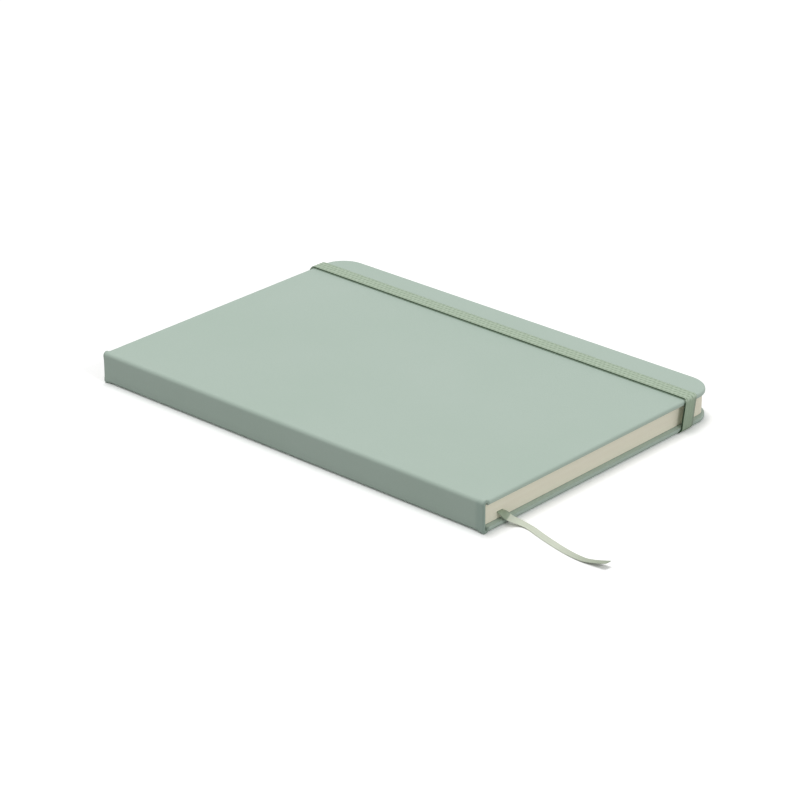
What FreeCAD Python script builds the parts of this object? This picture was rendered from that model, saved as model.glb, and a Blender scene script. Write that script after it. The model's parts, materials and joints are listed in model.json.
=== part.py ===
import FreeCAD, Part
import math
import os
import Sketcher

# An A5 notebook in a faux leather case, closed and lying on its back cover, in millimetres.
# +X runs from the spine to the fore edge, +Y from the tail to the head, +Z up.
# The origin is the middle of the footprint, on the surface that the notebook lies on.
#
# Each cover is drawn lying outer face down, with its outer face at z = 0 and its inner face up.
# The back cover stays like that, and the front cover is the same form turned over onto the leaves.

DOCUMENT = FreeCAD.newDocument("notebook")
X_AXIS = FreeCAD.Vector(1, 0, 0)
Z_AXIS = FreeCAD.Vector(0, 0, 1)
ORIGIN_POINT = (-1, 1)
X_LINE = -1
START, END, CENTRE = 1, 2, 3

SIZES = [
    ("cover_length", 210.0, "covers, tail to head"),
    ("cover_width", 146.0, "spine face to fore edge"),
    ("corner_radius", 12.0, "rounded fore corners of the covers"),
    ("edge_rounding", 0.8, "rounding of the wrapped cover edges"),
    ("skin_thickness", 0.4, "faux leather skin"),
    ("board_thickness", 1.55, "grey board of each cover"),
    ("paper_thickness", 0.15, "endpapers"),
    ("leaves_thickness", 9.0, "the leaves, pressed together"),
    ("square", 2.5, "how far the covers stand out past the leaves"),
    ("leaf_corner_radius", 6.3, "rounded fore corners of the leaves"),
    ("turn_in", 12.0, "skin folded over onto the inside of each board"),
    ("pastedown_margin", 3.0, "folded skin that shows round the pasted endpaper"),
    ("strip_thickness", 0.4, "card strip in the spine"),
    ("lining_thickness", 0.6, "lining glued over the backs of the leaves"),
    ("hem", 8.0, "skin folded in at the head and tail of the spine"),
    ("swing_clearance", 0.1, "between an opened cover and the spine"),
    ("band_width", 7.0, "elastic band"),
    ("band_thickness", 0.8, "elastic band"),
    ("band_inset", 20.8, "fore edge to the middle of the band's slots"),
    ("band_tail_inset", 17.8, "fore edge to the middle of the band where it crosses the tail"),
    ("band_head_inset", 15.7, "fore edge to the middle of the band where it crosses the head"),
    ("band_square_length", 2.4, "length of band at each bend that runs square to the edge"),
    ("band_clearance", 0.1, "between the band and what it passes"),
    ("band_bend", 0.8, "inside radius of the band over the front cover's edges"),
    ("slot_inset", 16.0, "head or tail edge to the middle of the band's slot"),
    ("glued_end", 20.0, "glued end of the band past its slot"),
    ("ribbon_width", 3.5, "ribbon bookmark"),
    ("ribbon_thickness", 0.25, "ribbon bookmark"),
    ("ribbon_level", 5.0, "where the ribbon lies between the leaves, from the ground"),
    ("ribbon_offset", 10.4, "backs of the leaves to the middle of the ribbon at the tail"),
    ("ribbon_clearance", 0.05, "round the ribbon between the leaves"),
    ("ribbon_short", 3.0, "how far short of the head the held ribbon stops"),
    ("ribbon_slant", 2.2, "degrees by which the held ribbon leans towards the spine"),
]

# The free end of the ribbon, as its middle line: sideways from its exit, past the tail face of the
# leaves, and height above the ground. It drops over the back cover, lies in a lazy S on the ground
# and lifts a little at its tip.
RIBBON_ROUTE = [
    (-0.08, 2.00, 5.00),
    (0.06, -1.60, 5.00),
    (0.90, -4.80, 3.20),
    (3.80, -7.40, 1.00),
    (4.30, -11.90, 0.20),
    (2.30, -17.80, 0.20),
    (0.30, -24.90, 0.20),
    (-1.50, -32.30, 0.20),
    (-2.80, -39.80, 0.20),
    (-3.20, -46.80, 0.30),
    (-1.40, -54.50, 2.00),
]
ARC_SHARE = 0.45  # share of the shorter run that an arc takes at each corner of the route
OVERRUN = 1.0  # how far a cut is drawn past the edge that it opens
SAME_PLACE = 0.01  # two edges closer than this lie at the same place

# Worked out from the sizes, as expressions.
CASE = "(Sizes.skin_thickness + Sizes.board_thickness)"
COVER = f"({CASE} + Sizes.paper_thickness)"
BLOCK = "(Sizes.leaves_thickness + 2 * Sizes.paper_thickness)"
TOTAL = f"(2 * {COVER} + {BLOCK})"
FORE = "(Sizes.cover_width / 2)"
HEAD = "(Sizes.cover_length / 2)"
SPINE_WALL = "(Sizes.skin_thickness + Sizes.strip_thickness)"
SHOULDER = f"({FORE} - {SPINE_WALL} - Sizes.lining_thickness)"
# A cover turns about the shoulder of the leaves, so it starts where half a turn takes it just
# clear of the spine's outer face.
JOINT = f"(2 * {SHOULDER} - {FORE} - Sizes.swing_clearance)"
LEAF_FORE = f"({FORE} - Sizes.square)"
LEAF_HEAD = f"({HEAD} - Sizes.square)"
BAND_PLACE = f"({FORE} - Sizes.band_inset)"
BAND_TAIL_PLACE = f"({FORE} - Sizes.band_tail_inset)"
BAND_HEAD_PLACE = f"({FORE} - Sizes.band_head_inset)"
BAND_INNER_SIDE = f"({HEAD} + Sizes.band_clearance)"
BAND_OUTER_SIDE = f"({BAND_INNER_SIDE} + Sizes.band_thickness)"
BAND_INNER_TOP = f"({TOTAL} + Sizes.band_clearance)"
BAND_OUTER_TOP = f"({BAND_INNER_TOP} + Sizes.band_thickness)"
BAND_GAP = "(Sizes.band_width / 2 + Sizes.band_clearance)"
CHANNEL_DEPTH = "Sizes.band_thickness"
SLOT_PLACE = f"({HEAD} - Sizes.slot_inset)"
SLOT_NEAR = f"({SLOT_PLACE} - Sizes.band_thickness / 2 - Sizes.band_clearance)"
SLOT_FAR = f"({SLOT_PLACE} + Sizes.band_thickness / 2 + Sizes.band_clearance)"
RIBBON_HELD = f"(2 * {LEAF_HEAD} - Sizes.ribbon_short)"
RECESS_END = f"({SLOT_PLACE} - Sizes.glued_end - Sizes.band_clearance)"


def make_sheet():
    """The spreadsheet of driving dimensions."""
    sheet = DOCUMENT.addObject("Spreadsheet::Sheet", "Sizes")
    for row, (alias, value, note) in enumerate(SIZES, start=1):
        sheet.set(f"A{row}", note)
        sheet.set(f"B{row}", str(value))
        sheet.setAlias(f"B{row}", alias)
    DOCUMENT.recompute()
    return sheet


SHEET = make_sheet()


def value_of(expression):
    """The number that an expression of the spreadsheet's sizes gives."""
    return float(SHEET.evalExpression(expression))


def new_body(name):
    body = DOCUMENT.addObject("PartDesign::Body", name)
    body.Label = name
    return body


def new_sketch(body, name, role="XY_Plane", level=None):
    """A sketch on one of the body's own planes, raised along the plane's normal by level."""
    sketch = body.newObject("Sketcher::SketchObject", name)
    plane = next(item for item in body.Origin.OriginFeatures if item.Role == role)
    sketch.AttachmentSupport = [(plane, "")]
    sketch.MapMode = "FlatFace"
    if level is not None:
        sketch.setExpression("AttachmentOffset.Base.z", level)
    return sketch


def pin(sketch, kind, first, second, expression):
    """A distance between two points of a sketch, bound to an expression."""
    index = sketch.addConstraint(Sketcher.Constraint(kind, *first, *second, value_of(expression)))
    sketch.setExpression(f"Constraints[{index}]", expression)


def pin_radius(sketch, arc, expression):
    index = sketch.addConstraint(Sketcher.Constraint("Radius", arc, value_of(expression)))
    sketch.setExpression(f"Constraints[{index}]", expression)


def tie(sketch, kind, *geometry):
    sketch.addConstraint(Sketcher.Constraint(kind, *geometry))


def draw_polygon(sketch, corners):
    """A closed outline of straight lines. Each corner is a pair of expressions that hold it."""
    points = [FreeCAD.Vector(value_of(across), value_of(up), 0) for across, up in corners]
    first = sketch.GeometryCount
    for start, end in zip(points, points[1:] + points[:1]):
        sketch.addGeometry(Part.LineSegment(start, end), False)
    for number, (across, up) in enumerate(corners):
        line = first + number
        previous = first + (number - 1) % len(corners)
        tie(sketch, "Coincident", previous, END, line, START)
        place_point(sketch, (line, START), "DistanceX", across)
        place_point(sketch, (line, START), "DistanceY", up)


def place_point(sketch, point, kind, expression):
    """Hold one coordinate of a point at an expression, whichever side of the origin it is on."""
    if value_of(expression) < 0:
        pin(sketch, kind, point, ORIGIN_POINT, f"-({expression})")
    else:
        pin(sketch, kind, ORIGIN_POINT, point, expression)


def draw_plate(sketch, spine_side, fore_side, half_length, radius):
    """A plate outline: square corners at the spine, rounded corners at the fore edge."""
    left = -value_of(spine_side)
    right = value_of(fore_side)
    half = value_of(half_length)
    bend = value_of(radius)
    tail_centre = FreeCAD.Vector(right - bend, bend - half, 0)
    head_centre = FreeCAD.Vector(right - bend, half - bend, 0)
    spine, tail, tail_arc, fore, head_arc, head = range(6)
    sketch.addGeometry([
        Part.LineSegment(FreeCAD.Vector(left, half, 0), FreeCAD.Vector(left, -half, 0)),
        Part.LineSegment(FreeCAD.Vector(left, -half, 0), FreeCAD.Vector(right - bend, -half, 0)),
        Part.ArcOfCircle(Part.Circle(tail_centre, Z_AXIS, bend), -math.pi / 2, 0),
        Part.LineSegment(FreeCAD.Vector(right, bend - half, 0), FreeCAD.Vector(right, half - bend, 0)),
        Part.ArcOfCircle(Part.Circle(head_centre, Z_AXIS, bend), 0, math.pi / 2),
        Part.LineSegment(FreeCAD.Vector(right - bend, half, 0), FreeCAD.Vector(left, half, 0)),
    ], False)
    tie(sketch, "Coincident", spine, END, tail, START)
    tie(sketch, "Tangent", tail, END, tail_arc, START)
    tie(sketch, "Tangent", tail_arc, END, fore, START)
    tie(sketch, "Tangent", fore, END, head_arc, START)
    tie(sketch, "Tangent", head_arc, END, head, START)
    tie(sketch, "Coincident", head, END, spine, START)
    tie(sketch, "Vertical", fore)
    tie(sketch, "Horizontal", tail)
    tie(sketch, "Horizontal", head)
    tie(sketch, "Symmetric", spine, START, spine, END, X_LINE)
    tie(sketch, "Equal", tail_arc, head_arc)
    pin(sketch, "DistanceX", (spine, START), ORIGIN_POINT, spine_side)
    pin(sketch, "DistanceX", ORIGIN_POINT, (fore, START), fore_side)
    pin(sketch, "DistanceY", (spine, END), (spine, START), f"2 * {half_length}")
    pin_radius(sketch, tail_arc, radius)


def extrude(body, kind, name, sketch, length, midplane=False):
    """A Pad or a Pocket of a sketch, towards the plane's normal or to both sides of it."""
    feature = body.newObject(f"PartDesign::{kind}", name)
    feature.Profile = sketch
    feature.setExpression("Length", length)
    if midplane:
        feature.SideType = "Symmetric"
    elif kind == "Pocket":
        feature.Reversed = True
    sketch.Visibility = False
    return feature


def round_wrapped_edges(body, plate):
    """Round the outer edges of a cover form, at both faces, apart from its spine side."""
    DOCUMENT.recompute()
    spine_side = -value_of(JOINT)
    names = []
    for number, edge in enumerate(plate.Shape.Edges, start=1):
        box = edge.BoundBox
        lies_flat = box.ZLength < SAME_PLACE
        if lies_flat and box.XMax > spine_side + value_of("Sizes.edge_rounding"):
            names.append(f"Edge{number}")
    fillet = body.newObject("PartDesign::Fillet", "wrapped_edges")
    fillet.Base = (plate, names)
    fillet.setExpression("Radius", "Sizes.edge_rounding")


def turn_over(part):
    """Turn a piece of the front cover over, onto the leaves."""
    part.Placement = FreeCAD.Placement(FreeCAD.Vector(0, 0, 0), FreeCAD.Rotation(X_AXIS, 180))
    part.setExpression("Placement.Base.z", TOTAL)


def draw_band_places(sketch, near, far, half_width):
    """Two rectangles where the band passes the back cover, one near the tail and one near the
    head. near and far are distances from the middle of the cover."""
    low = f"{BAND_PLACE} - {half_width}"
    high = f"{BAND_PLACE} + {half_width}"
    for side in ("-1", "1"):
        draw_polygon(sketch, [
            (low, f"{side} * ({near})"),
            (high, f"{side} * ({near})"),
            (high, f"{side} * ({far})"),
            (low, f"{side} * ({far})"),
        ])


def cut_slots(body):
    """The two slots that the band's ends pass through."""
    sketch = new_sketch(body, "slot_outline")
    draw_band_places(sketch, SLOT_NEAR, SLOT_FAR, BAND_GAP)
    extrude(body, "Pocket", "slots", sketch, CASE)


def make_board(name, has_band):
    """A grey board, with its inner face stepped down where the skin is folded over it."""
    body = new_body(name)
    sketch = new_sketch(body, "outline", level="Sizes.skin_thickness")
    draw_plate(sketch, JOINT, f"{FORE} - Sizes.skin_thickness", f"({HEAD} - Sizes.skin_thickness)",
               "Sizes.corner_radius - Sizes.skin_thickness")
    extrude(body, "Pad", "board", sketch, "Sizes.board_thickness - Sizes.skin_thickness")
    sketch = new_sketch(body, "inside_the_turn_in", level="Sizes.board_thickness")
    inner_head = f"({HEAD} - Sizes.turn_in)"
    draw_polygon(sketch, [
        (f"-{JOINT}", f"-{inner_head}"),
        (f"{FORE} - Sizes.turn_in", f"-{inner_head}"),
        (f"{FORE} - Sizes.turn_in", inner_head),
        (f"-{JOINT}", inner_head),
    ])
    extrude(body, "Pad", "raised_middle", sketch, "Sizes.skin_thickness")
    if has_band:
        sketch = new_sketch(body, "channel_outline")
        draw_band_places(sketch, SLOT_NEAR, f"{HEAD} + {OVERRUN}",
                         f"({BAND_GAP} + Sizes.skin_thickness)")
        extrude(body, "Pocket", "channels", sketch, f"{CHANNEL_DEPTH} + Sizes.skin_thickness")
        cut_slots(body)
        sketch = new_sketch(body, "glued_end_outline", level=f"{CASE} - Sizes.band_thickness")
        draw_band_places(sketch, RECESS_END, SLOT_FAR, BAND_GAP)
        extrude(body, "Pocket", "glued_end_recesses", sketch, CASE)
    return body


def make_cover_skin(name, has_band):
    """The skin of one cover: its outer face, its wrapped edges and the turned-in strips."""
    body = new_body(name)
    sketch = new_sketch(body, "outline")
    draw_plate(sketch, JOINT, FORE, HEAD, "Sizes.corner_radius")
    plate = extrude(body, "Pad", "wrapped_form", sketch, CASE)
    round_wrapped_edges(body, plate)
    sketch = new_sketch(body, "board_outline", level="Sizes.skin_thickness")
    draw_plate(sketch, f"({JOINT} + {OVERRUN})", f"{FORE} - Sizes.skin_thickness",
               f"({HEAD} - Sizes.skin_thickness)", "Sizes.corner_radius - Sizes.skin_thickness")
    extrude(body, "Pocket", "board_space", sketch, "Sizes.board_thickness - Sizes.skin_thickness")
    sketch = new_sketch(body, "turn_in_outline", level="Sizes.board_thickness")
    inner_head = f"({HEAD} - Sizes.turn_in)"
    draw_polygon(sketch, [
        (f"-({JOINT} + {OVERRUN})", f"-{inner_head}"),
        (f"{FORE} - Sizes.turn_in", f"-{inner_head}"),
        (f"{FORE} - Sizes.turn_in", inner_head),
        (f"-({JOINT} + {OVERRUN})", inner_head),
    ])
    extrude(body, "Pocket", "inside_the_turn_in", sketch, CASE)
    if has_band:
        sketch = new_sketch(body, "channel_wall_outline", level="Sizes.skin_thickness")
        draw_band_places(sketch, SLOT_NEAR, f"{HEAD} - Sizes.skin_thickness",
                         f"({BAND_GAP} + Sizes.skin_thickness)")
        extrude(body, "Pad", "channel_walls", sketch, CHANNEL_DEPTH)
        sketch = new_sketch(body, "channel_outline")
        draw_band_places(sketch, SLOT_NEAR, f"{HEAD} + {OVERRUN}", BAND_GAP)
        extrude(body, "Pocket", "channels", sketch, CHANNEL_DEPTH)
        cut_slots(body)
    return body


def make_pastedown(name):
    """The half of an endpaper that is pasted to the inside of a cover."""
    body = new_body(name)
    sketch = new_sketch(body, "outline", level=CASE)
    draw_plate(sketch, JOINT, f"{FORE} - Sizes.pastedown_margin",
               f"({HEAD} - Sizes.pastedown_margin)",
               "Sizes.corner_radius - Sizes.pastedown_margin")
    extrude(body, "Pad", "sheet", sketch, "Sizes.paper_thickness")
    return body


def make_flyleaf(name):
    """The loose half of an endpaper, with the narrow fold that turns over the shoulder of the
    leaves to meet the pasted half."""
    body = new_body(name)
    sketch = new_sketch(body, "outline", level=COVER)
    draw_plate(sketch, SHOULDER, LEAF_FORE, LEAF_HEAD, "Sizes.leaf_corner_radius")
    extrude(body, "Pad", "sheet", sketch, "Sizes.paper_thickness")
    sketch = new_sketch(body, "fold_outline", level=CASE)
    fold_end = f"({JOINT} + Sizes.swing_clearance)"
    draw_polygon(sketch, [
        (f"-{SHOULDER}", f"-{LEAF_HEAD}"),
        (f"-{fold_end}", f"-{LEAF_HEAD}"),
        (f"-{fold_end}", LEAF_HEAD),
        (f"-{SHOULDER}", LEAF_HEAD),
    ])
    extrude(body, "Pad", "fold", sketch, "Sizes.paper_thickness")
    return body


def draw_spine_section(sketch, depth, thickness):
    """A C-shaped section of the spine, depth inside the outer face: a flat back and two legs
    over the joints, with corners round the shoulders of the leaves."""
    outer = value_of(f"{COVER} - ({depth})")
    inner = outer - value_of(thickness)
    corner = value_of(f"{COVER} - {FORE}")
    leg_end = value_of(f"-({JOINT} + Sizes.swing_clearance)")
    low, high = value_of(COVER), value_of(f"{TOTAL} - {COVER}")
    low_centre = FreeCAD.Vector(corner, low, 0)
    high_centre = FreeCAD.Vector(corner, high, 0)

    def point(across, up):
        return FreeCAD.Vector(across, up, 0)

    quarter, half_turn = math.pi / 2, math.pi
    sketch.addGeometry([
        Part.LineSegment(point(leg_end, high + outer), point(corner, high + outer)),
        Part.ArcOfCircle(Part.Circle(high_centre, Z_AXIS, outer), quarter, half_turn),
        Part.LineSegment(point(corner - outer, high), point(corner - outer, low)),
        Part.ArcOfCircle(Part.Circle(low_centre, Z_AXIS, outer), half_turn, half_turn + quarter),
        Part.LineSegment(point(corner, low - outer), point(leg_end, low - outer)),
        Part.LineSegment(point(leg_end, low - outer), point(leg_end, low - inner)),
        Part.LineSegment(point(leg_end, low - inner), point(corner, low - inner)),
        Part.ArcOfCircle(Part.Circle(low_centre, Z_AXIS, inner), half_turn, half_turn + quarter),
        Part.LineSegment(point(corner - inner, low), point(corner - inner, high)),
        Part.ArcOfCircle(Part.Circle(high_centre, Z_AXIS, inner), quarter, half_turn),
        Part.LineSegment(point(corner, high + inner), point(leg_end, high + inner)),
        Part.LineSegment(point(leg_end, high + inner), point(leg_end, high + outer)),
    ], False)
    joins = [(0, END, 1, START), (1, END, 2, START), (2, END, 3, START), (3, END, 4, START)]
    joins += [(6, END, 7, END), (7, START, 8, START), (8, END, 9, END), (9, START, 10, START)]
    for join in joins:
        tie(sketch, "Tangent", *join)
    for line in (4, 10):
        tie(sketch, "Coincident", line, END, line + 1, START)
    tie(sketch, "Coincident", 5, END, 6, START)
    tie(sketch, "Coincident", 11, END, 0, START)
    for line in (0, 4, 6, 10):
        tie(sketch, "Horizontal", line)
    for line in (2, 5, 11):
        tie(sketch, "Vertical", line)
    tie(sketch, "Coincident", 1, CENTRE, 9, CENTRE)
    tie(sketch, "Coincident", 3, CENTRE, 7, CENTRE)
    tie(sketch, "Equal", 1, 3)
    tie(sketch, "Equal", 7, 9)
    pin(sketch, "DistanceX", (1, CENTRE), ORIGIN_POINT, f"{FORE} - {COVER}")
    pin(sketch, "DistanceX", (5, START), ORIGIN_POINT, f"{JOINT} + Sizes.swing_clearance")
    pin(sketch, "DistanceX", (0, START), ORIGIN_POINT, f"{JOINT} + Sizes.swing_clearance")
    pin(sketch, "DistanceY", ORIGIN_POINT, (3, CENTRE), COVER)
    pin(sketch, "DistanceY", (3, CENTRE), (1, CENTRE), BLOCK)
    pin_radius(sketch, 1, f"{COVER} - ({depth})")
    pin_radius(sketch, 9, f"{COVER} - ({depth}) - ({thickness})")


def make_spine_skin():
    """The middle of the skin, from one cover round the spine to the other, with a hem folded in
    at the head and at the tail."""
    body = new_body("spine_skin")
    sketch = new_sketch(body, "section", "XZ_Plane")
    draw_spine_section(sketch, "0", "Sizes.skin_thickness")
    extrude(body, "Pad", "skin", sketch, "Sizes.cover_length", midplane=True)
    # The plane's normal points to the tail, so the hems are raised along it from each end.
    ends = (("tail", f"{HEAD} - Sizes.hem"), ("head", f"-{HEAD}"))
    for end, level in ends:
        sketch = new_sketch(body, f"{end}_hem_section", "XZ_Plane", level)
        draw_spine_section(sketch, "Sizes.skin_thickness", "Sizes.strip_thickness")
        extrude(body, "Pad", f"{end}_hem", sketch, "Sizes.hem")
    return body


def make_upright_strip(name, face, thickness, half_length):
    """A flat strip that stands against the spine, from shoulder to shoulder. face is the
    distance of its outer face from the middle of the notebook."""
    body = new_body(name)
    sketch = new_sketch(body, "outline", level=COVER)
    inner = f"({face} - {thickness})"
    draw_polygon(sketch, [
        (f"-{face}", f"-{half_length}"),
        (f"-{inner}", f"-{half_length}"),
        (f"-{inner}", half_length),
        (f"-{face}", half_length),
    ])
    extrude(body, "Pad", "strip", sketch, BLOCK)
    return body


def held_ribbon_ends():
    """Where the ribbon lies between the leaves: its end beside the spine at the head, and the
    point at the tail where it comes out."""
    slant = FreeCAD.Rotation(Z_AXIS, value_of("Sizes.ribbon_slant"))
    held = FreeCAD.Vector(0, value_of(RIBBON_HELD), 0)
    exit_point = FreeCAD.Vector(value_of(f"Sizes.ribbon_offset - {SHOULDER}"),
                                -value_of(LEAF_HEAD), value_of("Sizes.ribbon_level"))
    return exit_point + slant.multVec(held), exit_point


def make_ribbon_slit():
    """The space between the leaves that the ribbon lies in, open at the tail."""
    width = "Sizes.ribbon_width + 2 * Sizes.ribbon_clearance"
    depth = "Sizes.ribbon_thickness + 2 * Sizes.ribbon_clearance"
    past_tail = value_of("Sizes.square")
    slit = DOCUMENT.addObject("Part::Box", "ribbon_slit")
    slit.setExpression("Length", width)
    slit.setExpression("Width", f"{RIBBON_HELD} + Sizes.square + Sizes.ribbon_clearance")
    slit.setExpression("Height", depth)
    slant = FreeCAD.Rotation(Z_AXIS, value_of("Sizes.ribbon_slant"))
    corner = FreeCAD.Vector(-value_of(width) / 2, -past_tail, -value_of(depth) / 2)
    _, exit_point = held_ribbon_ends()
    slit.Placement = FreeCAD.Placement(exit_point + slant.multVec(corner), slant)
    return slit


def make_leaves():
    """The leaves as one block, with the slit that the ribbon lies in."""
    body = new_body("leaves")
    sketch = new_sketch(body, "outline", level=f"{COVER} + Sizes.paper_thickness")
    draw_plate(sketch, SHOULDER, LEAF_FORE, LEAF_HEAD, "Sizes.leaf_corner_radius")
    extrude(body, "Pad", "block", sketch, "Sizes.leaves_thickness")
    block = DOCUMENT.addObject("Part::Cut", "page_block")
    block.Base = body
    block.Tool = make_ribbon_slit()
    return block


def cord_path(start, points):
    """Straight runs joined by tangent arcs, each as large as its two runs allow. The first run
    begins at start, which is in line with the first two points and may lie behind them."""
    edges = []
    radii = []
    reached = start
    for before, corner, after in zip(points, points[1:], points[2:]):
        back = before - corner
        onward = after - corner
        half_turn = (math.pi - back.getAngle(onward)) / 2
        reach = ARC_SHARE * min(back.Length, onward.Length)
        radius = reach / math.tan(half_turn)
        back.normalize()
        onward.normalize()
        inward = back + onward
        inward.normalize()
        middle = corner + inward * (radius / math.cos(half_turn) - radius)
        arc_start = corner + back * reach
        arc_end = corner + onward * reach
        edges.append(Part.LineSegment(reached, arc_start).toShape())
        edges.append(Part.Arc(arc_start, middle, arc_end).toShape())
        radii.append(radius)
        reached = arc_end
    edges.append(Part.LineSegment(reached, points[-1]).toShape())
    return Part.Wire(edges), radii


def make_ribbon():
    """The ribbon bookmark: a straight stretch held between the leaves and a free flat end."""
    held_end, exit_point = held_ribbon_ends()
    points = [FreeCAD.Vector(exit_point.x + side, exit_point.y + past, level)
              for side, past, level in RIBBON_ROUTE]
    path, radii = cord_path(held_end, points)
    width = value_of("Sizes.ribbon_width")
    thickness = value_of("Sizes.ribbon_thickness")
    ahead = exit_point - held_end
    ahead.normalize()
    across = ahead.cross(Z_AXIS) * (width / 2)
    up = Z_AXIS * (thickness / 2)
    section = Part.makePolygon([held_end - across - up, held_end + across - up,
                                held_end + across + up, held_end - across + up,
                                held_end - across - up])
    sweep = Part.BRepOffsetAPI.MakePipeShell(path)
    sweep.setBiNormalMode(Z_AXIS)
    sweep.add(section)
    sweep.build()
    sweep.makeSolid()
    ribbon = DOCUMENT.addObject("Part::Feature", "bookmark_ribbon")
    ribbon.Shape = sweep.shape()
    print("ribbon radii:", " ".join(f"{radius:.1f}" for radius in radii))
    print(f"ribbon volume {ribbon.Shape.Volume:.1f}, section x length "
          f"{width * thickness * path.Length:.1f}, "
          f"free length {path.Length - value_of(RIBBON_HELD):.1f}")
    return ribbon


def draw_held_ends(sketch):
    """The two held ends of the band from the side: from the glued tip down through the slot and
    out along the back cover's channel."""
    thickness = "Sizes.band_thickness"
    slot_out = f"({SLOT_PLACE} + {thickness} / 2)"
    slot_in = f"({SLOT_PLACE} - {thickness} / 2)"
    tip = f"({SLOT_PLACE} - Sizes.glued_end)"
    glued_low = f"({CASE} - {thickness})"
    outline = [(tip, glued_low), (slot_in, glued_low), (slot_in, "0"), (BAND_OUTER_SIDE, "0"),
               (BAND_OUTER_SIDE, thickness), (slot_out, thickness), (slot_out, CASE), (tip, CASE)]
    draw_polygon(sketch, [(f"-{across}", up) for across, up in outline])
    draw_polygon(sketch, outline)


def draw_leaning_run(sketch, start, start_place, end, end_place):
    """A stretch of the band from start to end, seen flat. It is square to both bends and leans in
    between, from one place across the notebook to the other."""
    half_width = "Sizes.band_width / 2"
    stops = [(start, start_place), (f"{start} + Sizes.band_square_length", start_place),
             (f"{end} - Sizes.band_square_length", end_place), (end, end_place)]
    near = [(f"{place} - {half_width}", along) for along, place in stops]
    far = [(f"{place} + {half_width}", along) for along, place in reversed(stops)]
    draw_polygon(sketch, near + far)


def band_bend_edges(shape):
    """The band's edges across its bends over the covers: outer ones at all four, inner ones at
    the front cover."""
    outer = value_of(BAND_OUTER_SIDE)
    inner = value_of(BAND_INNER_SIDE)
    levels = (0.0, value_of(BAND_OUTER_TOP))
    inner_level = value_of(BAND_INNER_TOP)
    outer_names, inner_names = [], []
    for number, edge in enumerate(shape.Edges, start=1):
        box = edge.BoundBox
        if not math.isclose(box.XLength, value_of("Sizes.band_width"), abs_tol=SAME_PLACE):
            continue
        place, level = abs(box.Center.y), box.Center.z
        at_outer_level = any(math.isclose(level, other, abs_tol=SAME_PLACE) for other in levels)
        if math.isclose(place, outer, abs_tol=SAME_PLACE) and at_outer_level:
            outer_names.append(f"Edge{number}")
        elif (math.isclose(place, inner, abs_tol=SAME_PLACE)
              and math.isclose(level, inner_level, abs_tol=SAME_PLACE)):
            inner_names.append(f"Edge{number}")
    return outer_names, inner_names


def make_band():
    """The elastic band, stretched round the closed covers. It crosses the front cover a little
    further out than its slots in the back cover, so its side runs lean."""
    thickness = "Sizes.band_thickness"
    body = new_body("elastic_band")
    sketch = new_sketch(body, "held_ends_profile", "YZ_Plane", BAND_PLACE)
    draw_held_ends(sketch)
    extrude(body, "Pad", "held_ends", sketch, "Sizes.band_width", midplane=True)
    # The plane's normal points to the tail, so each side run is raised along it.
    sides = (("tail", BAND_INNER_SIDE, BAND_TAIL_PLACE),
             ("head", f"-{BAND_OUTER_SIDE}", BAND_HEAD_PLACE))
    for side, level, top_place in sides:
        sketch = new_sketch(body, f"{side}_run_outline", "XZ_Plane", level)
        draw_leaning_run(sketch, "0", BAND_PLACE, BAND_OUTER_TOP, top_place)
        extrude(body, "Pad", f"{side}_run", sketch, thickness)
    sketch = new_sketch(body, "top_run_outline", level=BAND_INNER_TOP)
    draw_leaning_run(sketch, f"-{BAND_OUTER_SIDE}", BAND_TAIL_PLACE, BAND_OUTER_SIDE,
                     BAND_HEAD_PLACE)
    band = extrude(body, "Pad", "top_run", sketch, thickness)
    DOCUMENT.recompute()
    outer_names, _ = band_bend_edges(band.Shape)
    fillet = body.newObject("PartDesign::Fillet", "outer_bends")
    fillet.Base = (band, outer_names)
    fillet.setExpression("Radius", "Sizes.band_bend + Sizes.band_thickness")
    DOCUMENT.recompute()
    _, inner_names = band_bend_edges(fillet.Shape)
    inner_fillet = body.newObject("PartDesign::Fillet", "inner_bends")
    inner_fillet.Base = (fillet, inner_names)
    inner_fillet.setExpression("Radius", "Sizes.band_bend")
    return body


def check_document():
    for item in DOCUMENT.Objects:
        if "Invalid" in item.State or "Error" in item.State:
            raise RuntimeError(f"{item.Name} failed: {item.State}")


def main():
    front_pieces = [
        make_board("front_board", has_band=False),
        make_cover_skin("front_cover_skin", has_band=False),
        make_pastedown("front_pastedown"),
        make_flyleaf("front_flyleaf"),
    ]
    for piece in front_pieces:
        turn_over(piece)
    pieces = front_pieces + [
        make_board("back_board", has_band=True),
        make_cover_skin("back_cover_skin", has_band=True),
        make_pastedown("back_pastedown"),
        make_flyleaf("back_flyleaf"),
        make_leaves(),
        make_upright_strip("spine_lining", f"({FORE} - {SPINE_WALL})", "Sizes.lining_thickness",
                           LEAF_HEAD),
        make_upright_strip("spine_strip", f"({FORE} - Sizes.skin_thickness)",
                           "Sizes.strip_thickness", f"({HEAD} - Sizes.hem)"),
        make_spine_skin(),
        make_ribbon(),
        make_band(),
    ]
    DOCUMENT.recompute()
    check_document()
    for piece in pieces:
        shape = piece.Shape
        if shape.isNull() or not shape.isValid():
            raise RuntimeError(f"{piece.Label} has no valid shape")
    os.makedirs("parts", exist_ok=True)
    for piece in pieces:
        piece.Shape.exportStep(os.path.join("parts", f"{piece.Label}.step"))
        print(f"{piece.Label}: {len(piece.Shape.Solids)} solid, {piece.Shape.Volume:.1f} mm3")


main()
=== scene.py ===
import json
import math

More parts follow.
